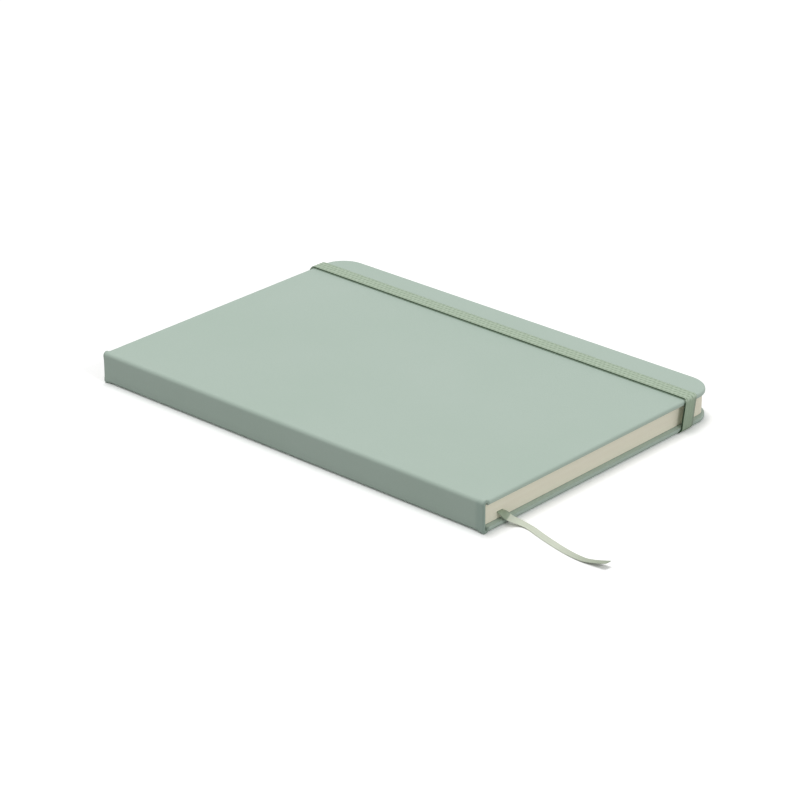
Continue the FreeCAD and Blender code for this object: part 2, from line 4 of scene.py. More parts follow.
import bmesh
import bpy
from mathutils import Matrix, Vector


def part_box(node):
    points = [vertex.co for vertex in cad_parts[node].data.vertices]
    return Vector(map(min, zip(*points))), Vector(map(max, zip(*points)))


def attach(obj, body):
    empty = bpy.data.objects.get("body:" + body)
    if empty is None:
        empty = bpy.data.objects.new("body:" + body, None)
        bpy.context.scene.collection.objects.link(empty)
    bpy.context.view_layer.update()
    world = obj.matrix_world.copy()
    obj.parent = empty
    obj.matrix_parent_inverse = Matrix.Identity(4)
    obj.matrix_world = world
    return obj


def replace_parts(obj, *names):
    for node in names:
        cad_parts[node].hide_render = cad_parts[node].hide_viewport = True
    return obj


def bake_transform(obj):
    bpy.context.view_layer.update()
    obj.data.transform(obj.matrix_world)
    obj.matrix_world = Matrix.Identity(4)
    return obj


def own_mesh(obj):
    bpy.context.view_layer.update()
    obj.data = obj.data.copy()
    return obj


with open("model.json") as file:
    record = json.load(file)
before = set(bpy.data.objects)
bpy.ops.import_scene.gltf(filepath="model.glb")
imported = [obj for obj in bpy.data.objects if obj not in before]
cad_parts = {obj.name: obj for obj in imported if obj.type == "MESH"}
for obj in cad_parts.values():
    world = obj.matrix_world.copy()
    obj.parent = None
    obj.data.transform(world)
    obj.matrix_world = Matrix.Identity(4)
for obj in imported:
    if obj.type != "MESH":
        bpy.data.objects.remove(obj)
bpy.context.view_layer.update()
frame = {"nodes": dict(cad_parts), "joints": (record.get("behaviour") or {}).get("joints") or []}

# Sizes are in millimetres, and meshes are scaled to metres as they are made. The camera, the
# ribbon's exit, route and length, the numbers in materials, the floor and the lamps are in metres.
MM = 0.001


def box_mm(node):
    """A node's lowest and highest corners."""
    low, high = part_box(node)
    return [c / MM for c in low], [c / MM for c in high]


FRONT_LOW, FRONT_HIGH = box_mm("front_cover_skin")
SPINE_LOW, _ = box_mm("spine_skin")
PASTE_LOW, PASTE_HIGH = box_mm("front_pastedown")
_, FLY_HIGH = box_mm("front_flyleaf")
HINGES = {joint["name"]: [c / MM for c in joint["pos_m"]] for joint in frame["joints"]}

TOP = FRONT_HIGH[2]
MIDDLE = TOP / 2
HALF_LENGTH = FRONT_HIGH[1]
FORE = FRONT_HIGH[0]
SPINE = SPINE_LOW[0]
BOARD_DEPTH = TOP - FRONT_LOW[2]
SHOULDER_X, _, SHOULDER_Z = HINGES["front_cover_hinge"]

# The rest isn't in the boxes. First the case: the outer radius from spine to cover, the rounded fore
# corners, the strip turned in round the boards and the one turned in at the spine's ends, the depth
# of that one's inner face, and the skin's thickness. Then the endpapers and leaves.
SPINE_BEND = 1.6
CORNER_RADIUS = 12.0
TURN_IN = 12.0
HEM = 8.0
HEM_DEPTH = 0.8
SKIN = 0.4
PASTE_MARGIN = 3.0
LEAF_CORNER_RADIUS = 6.3

# The elastic band. Its slots are inset from the tail and head, its ends are glued inside, and its
# middle is at three places across: at the slots, over the tail and over the head.
BAND_WIDTH = 7.0
BAND_THICKNESS = 0.8
BAND_GAP = 0.1
SLOT_INSET = 16.0
GLUED_END = 20.0
BAND_SLOT_X = FORE - 20.8
BAND_TAIL_X = FORE - 17.8
BAND_HEAD_X = FORE - 15.7


# ---------------------------------------------------------------- camera

bpy.context.scene.view_settings.view_transform = "Standard"

AZIMUTH, ELEVATION = math.radians(-47.91), math.radians(24.59)
AIM = Vector((-0.0034, 0.0008, 0.0))
DISTANCE = 1.275
LENS = 138.3
NEAREST = 0.05

to_camera = Vector((math.sin(AZIMUTH) * math.cos(ELEVATION),
                    -math.cos(AZIMUTH) * math.cos(ELEVATION), math.sin(ELEVATION)))
camera_data = bpy.data.cameras.new("camera")
camera_data.lens = LENS
camera_data.clip_start = NEAREST
camera = bpy.data.objects.new("camera", camera_data)
camera.location = AIM + to_camera * DISTANCE
camera.rotation_mode = "QUATERNION"
camera.rotation_quaternion = (-to_camera).to_track_quat("-Z", "Y")
bpy.context.scene.collection.objects.link(camera)
bpy.context.scene.camera = camera


# ---------------------------------------------------------------- materials

class Shader:
    """A material's node tree, with short calls to add and link nodes."""

    def __init__(self, name):
        self.material = bpy.data.materials.new(name)
        self.material.use_nodes = True
        self.tree = self.material.node_tree
        self.surface = self.tree.nodes["Principled BSDF"]

    def add(self, kind, **inputs):
        """A new node. Each keyword is an input, by name or number, given a value or a socket."""
        node = self.tree.nodes.new("ShaderNode" + kind)
        for name, value in inputs.items():
            key = int(name[1:]) if name[0] == "_" else name.replace("_", " ")
            self.set(node.inputs[key], value)
        return node

    def set(self, socket, value):
        """Links a socket to value if value is one too, or else sets it to value."""
        if isinstance(value, bpy.types.NodeSocket):
            self.tree.links.new(value, socket)
        else:
            socket.default_value = value

    def math(self, operation, a, b=0.0):
        node = self.add("Math", _0=a, _1=b)
        node.operation = operation
        return node.outputs[0]

    def spread(self, value, low, high, to_low=0.0, to_high=1.0):
        """value from low..high to to_low..to_high, held at the ends."""
        node = self.add("MapRange", Value=value, From_Min=low, From_Max=high,
                        To_Min=to_low, To_Max=to_high)
        return node.outputs["Result"]

    def mix(self, factor, first, second):
        node = self.tree.nodes.new("ShaderNodeMix")
        node.data_type = "RGBA"
        self.set(node.inputs["Factor"], factor)
        self.set(node.inputs["A"], first)
        self.set(node.inputs["B"], second)
        return node.outputs["Result"]

    def uv(self):
        """The piece's own flat coordinates, in metres along the sheet."""
        node = self.tree.nodes.new("ShaderNodeUVMap")
        node.uv_map = "flat"
        return node.outputs["UV"]

    def place(self):
        """The place on the object, in metres from the notebook's origin."""
        return self.add("TexCoord").outputs["Object"]

    def split(self, vector):
        return self.add("SeparateXYZ", Vector=vector).outputs

    def stretched(self, vector, scale):
        node = self.add("Mapping", Vector=vector)
        node.inputs["Scale"].default_value = scale
        return node.outputs["Vector"]

    def noise(self, vector, scale, detail=2.0, roughness=0.5):
        node = self.add("TexNoise", Vector=vector, Scale=scale, Detail=detail,
                        Roughness=roughness)
        return node.outputs["Fac"]

    def cells(self, vector, scale):
        """The distance to the middles of soft-edged cells."""
        node = self.add("TexVoronoi", Vector=vector, Scale=scale)
        node.feature = "SMOOTH_F1"
        node.inputs["Smoothness"].default_value = 0.6
        return node.outputs["Distance"]

    def bump(self, height, depth, strength):
        """depth is for a height from 0 to 1."""
        return self.add("Bump", Height=height, Distance=depth, Strength=strength).outputs["Normal"]

    def finish(self, color, roughness, normal=None, specular=0.5):
        self.set(self.surface.inputs["Base Color"], color)
        self.set(self.surface.inputs["Roughness"], roughness)
        self.surface.inputs["Specular IOR Level"].default_value = specular
        if normal is not None:
            self.set(self.surface.inputs["Normal"], normal)
        return self.material


def rgba(red, green, blue):
    return (red, green, blue, 1.0)


def skin_material():
    """Grained polyurethane faux leather, satin, sage green. It has painted shade where it is folded
    in at the spine's ends, and on the spine's face over its last few millimetres at the tail."""
    s = Shader("faux_leather")
    flat = s.uv()
    cloud = s.noise(flat, 18, 3)
    grain = s.cells(flat, 2400)
    creases = s.noise(flat, 1300, 5, 0.62)
    pits = s.spread(grain, 0.15, 0.75)
    tone = s.mix(s.spread(cloud, 0.3, 0.7), rgba(0.441, 0.549, 0.472), rgba(0.459, 0.562, 0.490))
    up_spine, along, _ = s.split(flat)
    # Painted shade on the skin where it is folded in, at both ends of the spine.
    painted_hem_shade = s.math("MULTIPLY", s.spread(s.math("ABSOLUTE", along), 0.1040, 0.1049),
                 s.spread(up_spine, 0.0085, 0.0095, 1.0, 0.0))
    tone = s.mix(s.math("MULTIPLY", painted_hem_shade, 0.55), tone, rgba(0.21, 0.28, 0.235))
    # Painted shade on the spine's face over its last few millimetres at the tail.
    painted_tail_shade = s.math("MULTIPLY", s.spread(along, -0.1017, -0.0999, 1.0, 0.0),
                     s.spread(up_spine, 0.0055, 0.0070, 1.0, 0.0))
    tone = s.mix(s.math("MULTIPLY", painted_tail_shade, 0.30), tone, rgba(0.22, 0.33, 0.29))
    color = s.mix(s.spread(s.math("MULTIPLY", pits, creases), 0.15, 0.6, 0.0, 0.10), tone,
                  rgba(0.36, 0.46, 0.39))
    rough = s.spread(creases, 0.3, 0.7, 0.46, 0.58)
    height = s.math("ADD", s.math("MULTIPLY", grain, -0.7), s.math("MULTIPLY", creases, 0.5))
    return s.finish(color, rough, s.bump(height, 0.00006, 0.7), 0.32)


def endpaper_material():
    """Smooth uncoated cream paper with a fine mottle of fibres."""
    s = Shader("endpaper")
    flat = s.uv()
    mottle = s.noise(flat, 60, 4)
    fibres = s.noise(s.stretched(flat, (1.0, 2.6, 1.0)), 1500, 4, 0.6)
    color = s.mix(s.spread(mottle, 0.3, 0.7), rgba(0.83, 0.775, 0.655), rgba(0.80, 0.745, 0.625))
    return s.finish(color, 0.85, s.bump(fibres, 0.00002, 0.6), 0.25)


def leaf_edge_material():
    """The cut edges of the leaves: cream, with the fine lines of single leaves."""
    s = Shader("leaf_edges")
    place = s.place()
    leaves = s.noise(s.stretched(place, (3.0, 3.0, 9000.0)), 1.0, 2, 0.6)
    bundles = s.noise(s.stretched(place, (2.0, 2.0, 1100.0)), 1.0, 1)
    shade = s.math("ADD", s.math("MULTIPLY", leaves, 0.6), s.math("MULTIPLY", bundles, 0.4))
    color = s.mix(s.spread(shade, 0.35, 0.65), rgba(0.95, 0.90, 0.73), rgba(0.99, 0.95, 0.79))
    return s.finish(color, 0.85, s.bump(leaves, 0.00004, 0.6), 0.2)


def lining_material():
    """Crepe paper lining glued over the backs of the leaves."""
    s = Shader("spine_lining")
    place = s.place()
    crepe = s.noise(s.stretched(place, (1.0, 900.0, 300.0)), 1.0, 3)
    color = s.mix(s.spread(crepe, 0.3, 0.7), rgba(0.80, 0.77, 0.64), rgba(0.86, 0.83, 0.72))
    return s.finish(color, 0.8, s.bump(crepe, 0.00005, 0.6), 0.25)


def board_material():
    """Grey binding board, pressed from waste paper fibre."""
    s = Shader("grey_board")
    place = s.place()
    fibre = s.noise(s.stretched(place, (1.0, 1.0, 6.0)), 900, 5, 0.6)
    specks = s.cells(place, 700)
    color = s.mix(s.spread(fibre, 0.35, 0.65), rgba(0.34, 0.33, 0.30), rgba(0.46, 0.45, 0.42))
    color = s.mix(s.spread(specks, 0.0, 0.12, 0.35, 0.0), color, rgba(0.22, 0.21, 0.19))
    return s.finish(color, 0.9, s.bump(fibre, 0.00005, 0.6), 0.2)


# The spacing of the elastic's ribs and stitches, the spacing across at which the slanting stitches
# come level again, and where the painted shade on the cut sides begins across the band.
ELASTIC_RIB = 1.75
ELASTIC_STITCH = 2.2
ELASTIC_SLANT = 3.1
SIDE_SHADE_START = BAND_WIDTH / 2 - 0.12


def elastic_material():
    """Woven elastic: ribs over its lengthwise rubber cords, slanting stitches between them, and
    painted shade on its cut sides, but not at their foot where it lies on the cover. Down the ends of
    the notebook it is smoother, with painted shade: darker, darker still low down, greyer on the fore
    side."""
    s = Shader("woven_elastic")
    across, along, _ = s.split(s.uv())
    _, _, level = s.split(s.place())
    on_top_run = s.spread(level, (TOP - 0.9) * MM, (TOP + 0.2) * MM)
    cord = s.math("MULTIPLY", across, 2 * math.pi / ELASTIC_RIB / MM)
    valley = s.spread(s.math("COSINE", cord), -1.0, 0.2, 1.0, 0.0)
    phase = s.math("MULTIPLY", along, 2 * math.pi / ELASTIC_STITCH / MM)
    slant = s.math("MULTIPLY", across, 2 * math.pi / ELASTIC_SLANT / MM)
    stitch = s.spread(s.math("SINE", s.math("ADD", phase, slant)), -0.7, 0.7)
    weave = s.noise(s.stretched(s.uv(), (1.0, 0.35, 1.0)), 1500, 3)
    ribbed = s.mix(s.spread(weave, 0.35, 0.65), rgba(0.425, 0.525, 0.40), rgba(0.49, 0.59, 0.47))
    dark = s.math("MULTIPLY", valley, s.spread(stitch, 0.0, 1.0, 0.2, 1.0))
    ribbed = s.mix(s.math("MULTIPLY", dark, 0.8), ribbed, rgba(0.20, 0.29, 0.185))
    # Down the ends of the notebook: a smoother weave, with a darker base colour as painted shade.
    painted_shade_end_runs = s.mix(s.spread(weave, 0.35, 0.65), rgba(0.375, 0.475, 0.35), rgba(0.40, 0.50, 0.375))
    painted_shade_end_runs = s.mix(s.math("MULTIPLY", dark, 0.12), painted_shade_end_runs, rgba(0.20, 0.29, 0.185))
    # Painted shade, darker towards the table.
    painted_shade_end_runs = s.mix(s.spread(level, 0.0, TOP * MM, 0.28, 0.0), painted_shade_end_runs, rgba(0.25, 0.34, 0.225))
    # Painted shade, greyer along the band's side nearer the fore edge.
    rim = s.spread(across, 1.9 * MM, 3.2 * MM, 0.0, 0.5)
    painted_shade_end_runs = s.mix(rim, painted_shade_end_runs, rgba(0.26, 0.29, 0.25))
    color = s.mix(on_top_run, painted_shade_end_runs, ribbed)
    # Painted shade on the cut sides, left out at their foot on the top run.
    side = s.spread(s.math("ABSOLUTE", across), SIDE_SHADE_START * MM, (SIDE_SHADE_START + 0.06) * MM)
    foot = s.spread(level, (TOP + 0.36) * MM, (TOP + 0.46) * MM, 1.0, 0.0)
    side = s.math("MULTIPLY", side, s.math("SUBTRACT", 1.0, s.math("MULTIPLY", on_top_run, foot)))
    color = s.mix(side, color, rgba(0.045, 0.080, 0.045))
    height = s.math("ADD", s.math("MULTIPLY", stitch, 0.5), s.math("MULTIPLY", weave, 0.5))
    return s.finish(color, 0.75, s.bump(height, 0.00008, 0.7), 0.3)


def ribbon_material():
    """Fine satin ribbon: crosswise weft with a shiny lengthwise warp. It has painted shade where it
    comes out of the leaves and inside them, and painted shade growing greyer towards its free tip."""
    s = Shader("satin_ribbon")
    across, along, _ = s.split(s.uv())
    warp = s.noise(s.stretched(s.uv(), (9000.0, 350.0, 1.0)), 1.0, 2)
    weft = s.math("SINE", s.math("MULTIPLY", along, 2 * math.pi / 0.00022))
    edge = s.spread(s.math("ABSOLUTE", across), 0.00145, 0.0017)
    # Painted shade where the ribbon comes out of the leaves, and on the part held inside them.
    folded = s.spread(along, 0.0060, 0.0066, 1.0, 0.0)
    # Painted shade, growing towards the ribbon's tip.
    painted_tip_shade = s.spread(along, 0.034, 0.056)
    slubs = s.noise(s.stretched(s.uv(), (90.0, 130.0, 1.0)), 1.0, 2)
    color = s.mix(s.spread(warp, 0.35, 0.65), rgba(0.66, 0.71, 0.58), rgba(0.71, 0.755, 0.63))
    color = s.mix(s.math("MULTIPLY", edge, 0.3), color, rgba(0.76, 0.80, 0.66))
    color = s.mix(s.spread(slubs, 0.35, 0.65, 0.0, 0.12), color, rgba(0.50, 0.55, 0.44))
    color = s.mix(s.math("MULTIPLY", painted_tip_shade, 0.8), color, rgba(0.32, 0.38, 0.27))
    color = s.mix(s.math("MULTIPLY", folded, 0.85), color, rgba(0.30, 0.385, 0.265))
    height = s.math("ADD", s.math("MULTIPLY", warp, 0.6), s.math("MULTIPLY", weft, 0.2))
    s.surface.inputs["Sheen Weight"].default_value = 0.1
    return s.finish(color, 0.5, s.bump(height, 0.00003, 0.6), 0.4)


SKIN_LOOK = skin_material()
ENDPAPER_LOOK = endpaper_material()
LEAF_LOOK = leaf_edge_material()
LINING_LOOK = lining_material()
BOARD_LOOK = board_material()
ELASTIC_LOOK = elastic_material()
RIBBON_LOOK = ribbon_material()


# ---------------------------------------------------------------- mesh helpers

def new_mesh():
    """An empty mesh, and its layer of flat coordinates."""
    mesh = bmesh.new()
    return mesh, mesh.loops.layers.uv.new("flat")


def piece_from(name, mesh, look, faceted=False):
    """An object from a mesh in millimetres, with its look."""
    bmesh.ops.scale(mesh, vec=(MM, MM, MM), verts=mesh.verts)
    data = bpy.data.meshes.new(name)
    mesh.to_mesh(data)
    mesh.free()
    data.materials.append(look)
    for face in data.polygons:
        face.use_smooth = not faceted
    piece = bpy.data.objects.new(name, data)
    bpy.context.scene.collection.objects.link(piece)
    return piece


def add_face(mesh, layer, corners):
    """A face from (vertex, flat coordinates) pairs. Corners at one vertex are merged."""
    kept = []
    for vertex, flat in corners:
        if vertex not in [k[0] for k in kept]:
            kept.append((vertex, flat))
    if len(kept) < 3:
        return
    face = mesh.faces.get([k[0] for k in kept])
    if face is None:
        face = mesh.faces.new([k[0] for k in kept])
        for loop, (_, flat) in zip(face.loops, kept):
            loop[layer].uv = (flat[0] * MM, flat[1] * MM)


def add_grid(mesh, layer, rows, closed=False):
    """Faces between rows of (vertex, flat coordinates), each row a ring if closed."""
    for first, second in zip(rows, rows[1:]):
        count = len(first)
        for i in range(count if closed else count - 1):
            j = (i + 1) % count
            add_face(mesh, layer, [first[i], first[j], second[j], second[i]])


def steps(start, end, size):
    """Even stations from start to end, no further apart than size."""
    count = max(1, math.ceil(abs(end - start) / size - 1e-9))
    return [start + (end - start) * i / count for i in range(count + 1)]


def merged(*runs):
    """Runs of stations put together in order, each value once."""
    values = sorted(v for run in runs for v in run)
    kept = values[:1]
    for value in values[1:]:
        if value - kept[-1] > 1e-4:
            kept.append(value)
    return kept


def share(value, low, high):
    """How far value has come from low to high, held from 0 to 1."""
    return min(1.0, max(0.0, (value - low) / (high - low)))


def smooth(value, low, high):
    """As share, but leaving 0 and reaching 1 gently."""
    t = share(value, low, high)
    return t * t * (3 - 2 * t)


def round_corner(x, y, radius, start, count):
    """Points round a quarter turn about (x, y) from the angle start, each with its outward
    direction. The two ends are left out."""
    for i in range(1, count):
        angle = start + math.pi / 2 * i / count
        out_x, out_y = math.cos(angle), math.sin(angle)
        yield (x + radius * out_x, y + radius * out_y), (out_x, out_y)


# ---------------------------------------------------------------- bookmark ribbon

# The points that control the free ribbon's middle line, from 2 mm inside the leaves to its tip.
ROUTE = [
    (-0.06128, -0.1005, 0.0050), (-0.06114, -0.1036, 0.0050), (-0.0604, -0.1068, 0.0029),
    (-0.0574, -0.1099, 0.0010), (-0.0569, -0.1144, 0.0002), (-0.0589, -0.1203, 0.0002),
    (-0.0609, -0.1274, 0.0002), (-0.0628, -0.1349, 0.0002), (-0.0640, -0.1423, 0.0002),
    (-0.0642, -0.1491, 0.0004), (-0.0627, -0.1571, 0.0024),
]
RIBBON_WIDTH = 3.5
RIBBON_THICKNESS = 0.25
RIBBON_HELD = 200.0
SELVEDGE = 0.7


def spline_points(route, per_span=12):
    """Points along the smooth line that the route's points control."""
    curve = bpy.data.curves.new("route", "CURVE")
    curve.dimensions = "3D"
    curve.resolution_u = per_span
    spline = curve.splines.new("NURBS")
    spline.points.add(len(route) - 1)
    for point, place in zip(spline.points, route):
        point.co = (*place, 1.0)
    spline.order_u = 3
    spline.use_endpoint_u = True
    holder = bpy.data.objects.new("route", curve)
    bpy.context.scene.collection.objects.link(holder)
    bpy.context.view_layer.update()
    line = bpy.data.meshes.new_from_object(
        holder.evaluated_get(bpy.context.evaluated_depsgraph_get()))
    points = [v.co.copy() for v in line.vertices]
    bpy.data.objects.remove(holder)
    bpy.data.curves.remove(curve)
    bpy.data.meshes.remove(line)
    return points


def strip_section(width, thickness, columns, crown):
    """A flat strip's section, thinner at its selvedges, anticlockwise: (across, up, flat across)."""
    upper, lower = [], []
    for i in range(columns + 1):
        x = width / 2 - width * i / columns
        rim = thickness / 2 * (1 - 0.7 * smooth(abs(x), width / 2 - SELVEDGE, width / 2))
        upper.append((x, crown(x) + rim, x))
        lower.append((x, crown(x) - rim, x))
    return upper + lower[::-1]


def make_ribbon():
    """The free ribbon: it tilts as it drops to the table, lies flat there, and lifts its tip,
    which is cut at a slant. It is slightly cupped, the other way up where it lies flat."""
    points = [p / MM for p in spline_points(ROUTE)]
    mesh, layer = new_mesh()
    reach = [0.0]
    for a, b in zip(points, points[1:]):
        reach.append(reach[-1] + (b - a).length)
    total = reach[-1]
    rows = []
    for i, point in enumerate(points):
        ahead = (points[min(i + 1, len(points) - 1)] - points[max(i - 1, 0)]).normalized()
        near_tip = smooth(reach[i], total - 24, total - 3)
        at_drop = smooth(reach[i], 2.2, 5.0) * (1 - smooth(reach[i], 7.0, 15.0))
        twist = math.radians(4) * near_tip - math.radians(26) * at_drop
        up = Vector((0, 0, 1)) - ahead * ahead.z
        up.normalize()
        across = ahead.cross(up)
        across, up = (across * math.cos(twist) + up * math.sin(twist),
                      up * math.cos(twist) - across * math.sin(twist))
        flat_down = smooth(reach[i], 9, 14) * (1 - near_tip)
        cup = 0.12 - 0.22 * flat_down

        def crown(x):
            return cup * ((x / (RIBBON_WIDTH / 2)) ** 2 - 1 / 3)

        section = strip_section(RIBBON_WIDTH, RIBBON_THICKNESS, 14, crown)
        cut = 0.30 * smooth(reach[i], total - 3, total)
        row = []
        for x, height, flat in section:
            place = point + across * x + up * height - ahead * (x + RIBBON_WIDTH / 2) * cut
            place.z = max(place.z, 0.02)
            row.append((mesh.verts.new(place), (flat, reach[i])))
        rows.append(row)
    add_grid(mesh, layer, rows, closed=True)
    add_face(mesh, layer, rows[0][::-1])
    add_face(mesh, layer, rows[-1])
    bmesh.ops.recalc_face_normals(mesh, faces=mesh.faces)
    ribbon = piece_from("bookmark_ribbon_satin", mesh, RIBBON_LOOK)
    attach(ribbon, "leaves")
    return ribbon


def make_held_ribbon():
    """The rest of the ribbon, held between the leaves."""
    mesh, layer = new_mesh()
    start = Vector(ROUTE[0]) / MM
    ahead = (start - Vector(ROUTE[1]) / MM).normalized()
    across = ahead.cross(Vector((0, 0, 1)))
    section = strip_section(RIBBON_WIDTH, RIBBON_THICKNESS, 10, lambda x: 0.0)
    rows = []
    for reach in steps(0, RIBBON_HELD, 10):
        rows.append([(mesh.verts.new(start + ahead * reach + across * x + Vector((0, 0, up))),
                      (flat, -reach)) for x, up, flat in section])
    add_grid(mesh, layer, rows, closed=True)
    add_face(mesh, layer, rows[0])
    add_face(mesh, layer, rows[-1])
    bmesh.ops.recalc_face_normals(mesh, faces=mesh.faces)
    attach(piece_from("bookmark_ribbon_held", mesh, RIBBON_LOOK), "leaves")


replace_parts(make_ribbon(), "bookmark_ribbon")
make_held_ribbon()


# ---------------------------------------------------------------- case skin

# The skin is laid out flat: s runs from the middle of the spine, round its bend and over the
# cover to the fore edge, y runs from tail to head, and depth is measured inwards from the face.
BEND_START = TOP - SPINE_BEND - MIDDLE
BEND_END = BEND_START + SPINE_BEND * math.pi / 2
COVER_START = BEND_END - (SPINE + SPINE_BEND)
SKIN_END = FORE + COVER_START
BOARD_START = FRONT_LOW[0] + COVER_START
OUTER_ROUNDING = 1.2
HEM_ROUNDING = 0.4
INNER_ROUNDING = 0.35

# The channel across the back cover and the slots at its ends are a gap wider than the band, and
# their sides slope over twice WALL.
CHANNEL_SIDES = (BAND_SLOT_X - BAND_WIDTH / 2 - BAND_GAP, BAND_SLOT_X + BAND_WIDTH / 2 + BAND_GAP)
SLOT_Y = HALF_LENGTH - SLOT_INSET
SLOT_EDGES = (SLOT_Y - BAND_THICKNESS / 2 - BAND_GAP, SLOT_Y + BAND_THICKNESS / 2 + BAND_GAP)
WALL = 0.06


def on_case(s, y, depth):
    """A point of the upper half of the case."""
    if s <= BEND_START:
        return Vector((SPINE + depth, y, MIDDLE + s))
    if s < BEND_END:
        angle = (s - BEND_START) / SPINE_BEND
        reach = SPINE_BEND - depth
        return Vector((SPINE + SPINE_BEND - reach * math.cos(angle), y,
                       TOP - SPINE_BEND + reach * math.sin(angle)))
    return Vector((s - COVER_START, y, TOP - depth))


def channel_depth(x, y):
    """How deep the band's channel and slot are cut into the back cover at a place."""
    inside = smooth(x, CHANNEL_SIDES[0] - WALL, CHANNEL_SIDES[0] + WALL)
    inside *= 1 - smooth(x, CHANNEL_SIDES[1] - WALL, CHANNEL_SIDES[1] + WALL)
    reach = smooth(abs(y), SLOT_EDGES[0] - WALL, SLOT_EDGES[0] + WALL)
    slot = reach * (1 - smooth(abs(y), SLOT_EDGES[1] - WALL, SLOT_EDGES[1] + WALL))
    return inside * (BAND_THICKNESS * reach + (BOARD_DEPTH - BAND_THICKNESS - BAND_GAP) * slot)


def flare(s, y):
    """How far the skin stands proud where it is folded in at both ends of the spine: a little,
    and most over the bend."""
    end = smooth(abs(y), HALF_LENGTH - 4.2, HALF_LENGTH - 0.8)
    middle = (s - (BEND_START + BEND_END) / 2) / 1.9
    on_spine = 1 - smooth(s, BEND_END - 0.6, BEND_END + 1.6)
    return end * (0.28 * on_spine + 0.35 * math.exp(-middle * middle))


def edge_profile(s, outer):
    """The wrapped edge at a station: (inset from the outline, depth, distance along the skin),
    from the outer face round to the end of the turned-in strip."""
    on_board = smooth(s, BEND_END, BEND_END + 0.7)
    full = HEM_DEPTH + (BOARD_DEPTH - HEM_DEPTH) * on_board
    fold = HEM + (TURN_IN - HEM) * on_board
    radius = HEM_ROUNDING + (OUTER_ROUNDING - HEM_ROUNDING) * on_board
    radius = min(radius, (full - outer) / 2)
    inner = min(INNER_ROUNDING, (full - outer) / 2)
    points = []
    quarter = [math.pi / 2 * i / 6 for i in range(7)]
    for a in quarter:
        points.append((radius - radius * math.sin(a), outer + radius - radius * math.cos(a)))
    for a in quarter:
        points.append((inner - inner * math.cos(a), full - inner + inner * math.sin(a)))
    points.append((fold * 0.4, full))
    points.append((fold - 0.05, full))
    points.append((fold, full - 0.1))
    points.append((fold, full - SKIN))
    reach = 0.0
    profile = []
    previous = points[0]
    for point in points:
        reach += math.dist(previous, point)
        profile.append((point[0], point[1], reach - points[0][0]))
        previous = point
    return profile


def join_to_leaves(sheet, upper, still, moving):
    """Bakes the sheet's place into its mesh. For a back piece, still and moving, both points as on
    the front, have their heights turned over for the back, and nothing more is done with them."""
    if upper:
        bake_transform(sheet)
    else:
        still.z, moving.z = TOP - still.z, TOP - moving.z
        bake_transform(sheet)


